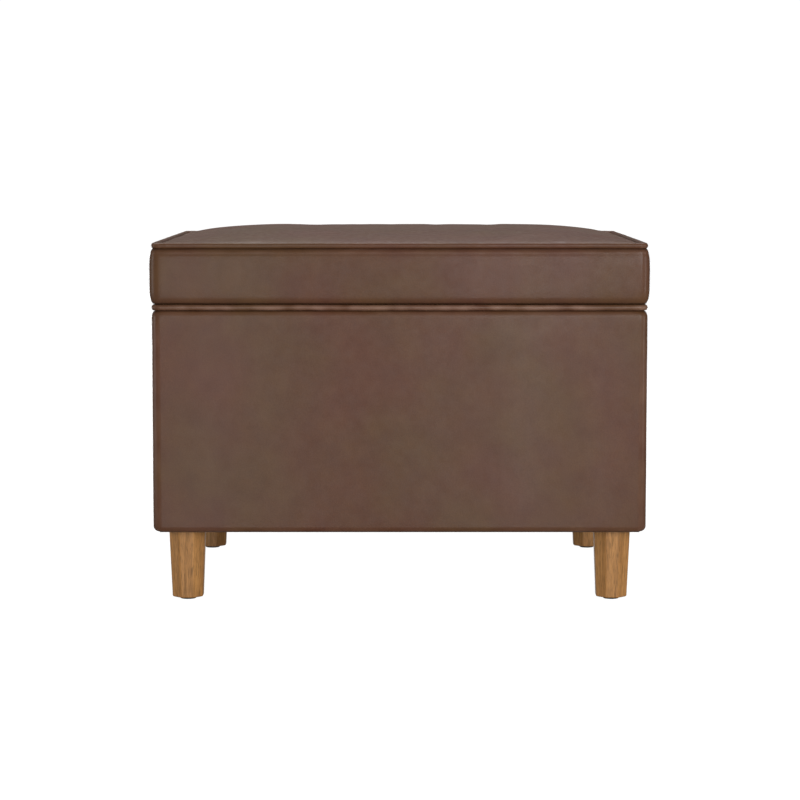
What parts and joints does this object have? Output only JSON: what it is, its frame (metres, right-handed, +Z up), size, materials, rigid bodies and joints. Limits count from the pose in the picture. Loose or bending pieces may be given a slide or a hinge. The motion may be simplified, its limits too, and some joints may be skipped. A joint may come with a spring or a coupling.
{
  "type": "storage ottoman",
  "caption": "Rectangular leather storage ottoman with a hinged, piped box-cushion lid, folding lid stays, a lined compartment and tapered octagonal wooden legs.",
  "frame": {"origin": "on the floor, under the middle of the box's width and depth", "axes": "+X along the width, -Y towards the front where the lid opens, +Z up"},
  "size_m": [0.62, 0.5, 0.4631],
  "materials": {
    "leather": "semi-matte brown, fine grain",
    "oak": "satin lacquered oak",
    "plywood": "raw birch plywood",
    "pine": "raw softwood",
    "foam": "cream upholstery foam",
    "lining_cloth": "matte black woven lining",
    "dust_cloth": "black non-woven",
    "zinc_steel": "zinc plated",
    "black_plastic": "moulded",
    "black_rubber": "matte"
  },
  "bodies": {
    "base": {"front_panel": "plywood", "back_panel": "plywood", "side_panel_left": "plywood", "side_panel_right": "plywood", "bottom_panel": "plywood", "corner_posts": "pine", "panel_screws": "zinc_steel", "body_padding": "foam", "body_cover": "leather", "lining": "lining_cloth", "dust_cover": "dust_cloth", "dust_cover_staples": "zinc_steel", "leg_front_left": "oak", "leg_front_right": "oak", "leg_rear_left": "oak", "leg_rear_right": "oak", "hanger_bolts": "zinc_steel", "tee_nuts": "zinc_steel", "foot_glides": "black_plastic", "hinge_body_leaf": "zinc_steel", "hinge_pin": "zinc_steel", "hinge_body_screws": "zinc_steel", "stay_body_bracket_left": "zinc_steel", "stay_body_bracket_right": "zinc_steel", "stay_body_rivet_left": "zinc_steel", "stay_body_rivet_right": "zinc_steel", "stay_body_screws": "zinc_steel"},
    "lid": {"lid_board": "plywood", "lid_foam": "foam", "lid_top_cover": "leather", "lid_boxing": "leather", "lid_top_welt": "leather", "lid_bottom_welt": "leather", "lid_liner": "lining_cloth", "lid_liner_staples": "zinc_steel", "lid_bumpers": "black_rubber", "hinge_lid_leaf": "zinc_steel", "hinge_lid_screws": "zinc_steel", "stay_lid_bracket_left": "zinc_steel", "stay_lid_bracket_right": "zinc_steel", "stay_lid_rivet_left": "zinc_steel", "stay_lid_rivet_right": "zinc_steel", "stay_lid_screws": "zinc_steel"},
    "stay_lower_left": {"stay_lower_arm_left": "zinc_steel", "stay_elbow_rivet_left": "zinc_steel"},
    "stay_lower_right": {"stay_lower_arm_right": "zinc_steel", "stay_elbow_rivet_right": "zinc_steel"},
    "stay_upper_left": {"stay_upper_arm_left": "zinc_steel"},
    "stay_upper_right": {"stay_upper_arm_right": "zinc_steel"}
  },
  "joints": [
    {"name": "lid_hinge", "type": "hinge", "parent": "base", "child": "lid", "pos_m": [0, 0.2467, 0.3695], "axis": [-1, 0, 0], "range_deg": [0, 100]},
    {"name": "stay_body_pivot_left", "type": "hinge", "parent": "base", "child": "stay_lower_left", "pos_m": [-0.285, 0.1787, 0.2195], "axis": [-1, 0, 0], "range_deg": [0, 100]},
    {"name": "stay_lid_pivot_left", "type": "hinge", "parent": "lid", "child": "stay_upper_left", "pos_m": [-0.285, 0.0967, 0.3585], "axis": [-1, 0, 0], "range_deg": [-100, 0]},
    {"name": "stay_body_pivot_right", "type": "hinge", "parent": "base", "child": "stay_lower_right", "pos_m": [0.285, 0.1787, 0.2195], "axis": [-1, 0, 0], "range_deg": [0, 100]},
    {"name": "stay_lid_pivot_right", "type": "hinge", "parent": "lid", "child": "stay_upper_right", "pos_m": [0.285, 0.0967, 0.3585], "axis": [-1, 0, 0], "range_deg": [-100, 0]}
  ],
  "couplings": [
    {"joint": "stay_body_pivot_left", "follows": "lid_hinge", "ratio": 1},
    {"joint": "stay_lid_pivot_left", "follows": "lid_hinge", "ratio": -1},
    {"joint": "stay_body_pivot_right", "follows": "lid_hinge", "ratio": 1},
    {"joint": "stay_lid_pivot_right", "follows": "lid_hinge", "ratio": -1}
  ]
}
